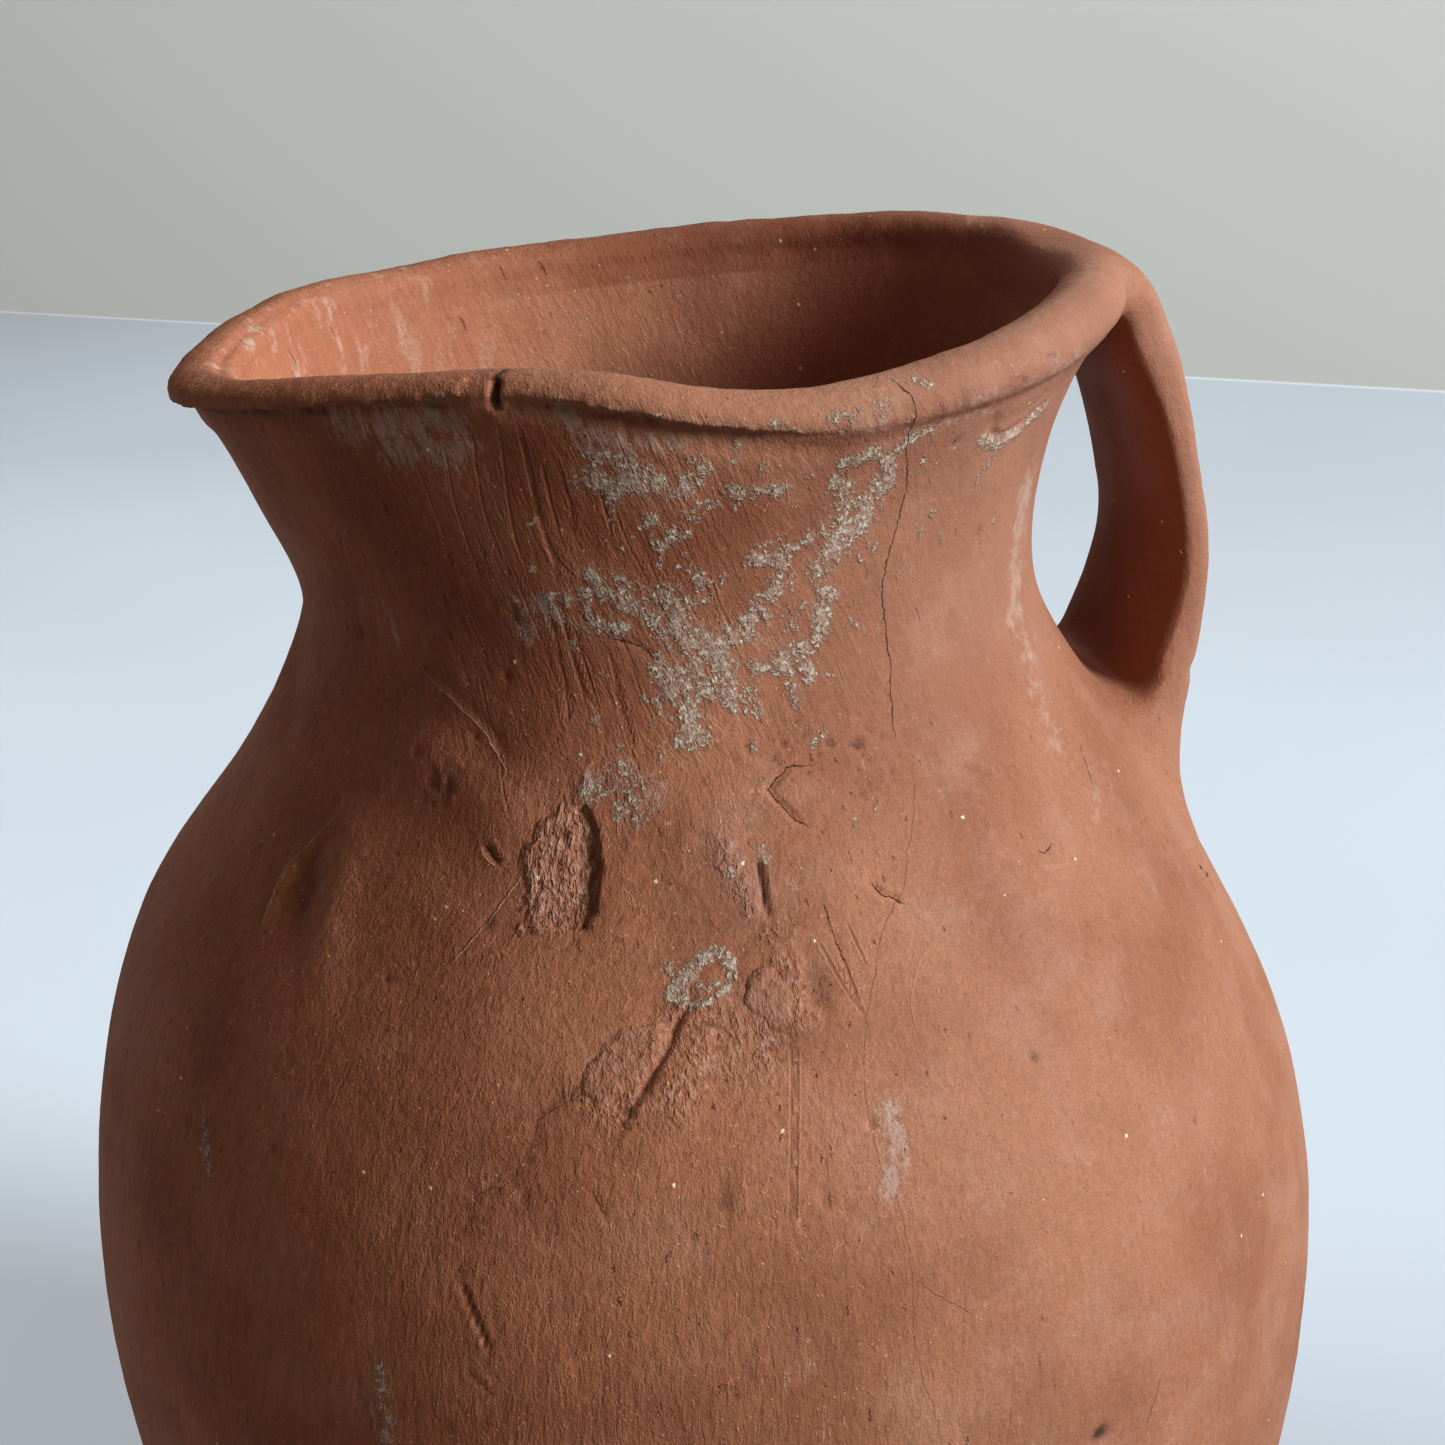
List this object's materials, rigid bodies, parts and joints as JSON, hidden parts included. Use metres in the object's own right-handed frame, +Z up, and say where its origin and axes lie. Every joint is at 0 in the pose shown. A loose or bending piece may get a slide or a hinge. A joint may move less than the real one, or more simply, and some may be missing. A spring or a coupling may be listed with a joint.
{
  "type": "ceramic pitcher",
  "caption": "Hand-built unglazed terracotta pitcher with an egg-shaped belly, flared neck, rolled lip drawn to a spout and a strap handle.",
  "frame": {"origin": "middle of the flat underside of the foot", "axes": "+Z up through the mouth, +X towards the handle, -X towards the spout"},
  "size_m": [0.1503, 0.1502, 0.2075],
  "materials": {
    "fired_clay": "matte, unglazed, with a burnished sheen in places",
    "pale_clay": "matte, rough, unglazed"
  },
  "bodies": {
    "root": {"base_slab": "fired_clay", "floor_coil": "fired_clay", "lower_wall": "fired_clay", "belly_wall": "fired_clay", "shoulder_wall": "fired_clay", "neck_collar": "fired_clay", "lip_coil": "fired_clay", "handle_strap": "fired_clay", "handle_upper_wad": "fired_clay", "handle_lower_wad": "fired_clay", "shoulder_smear": "pale_clay", "shoulder_lump": "pale_clay"}
  },
  "joints": []
}
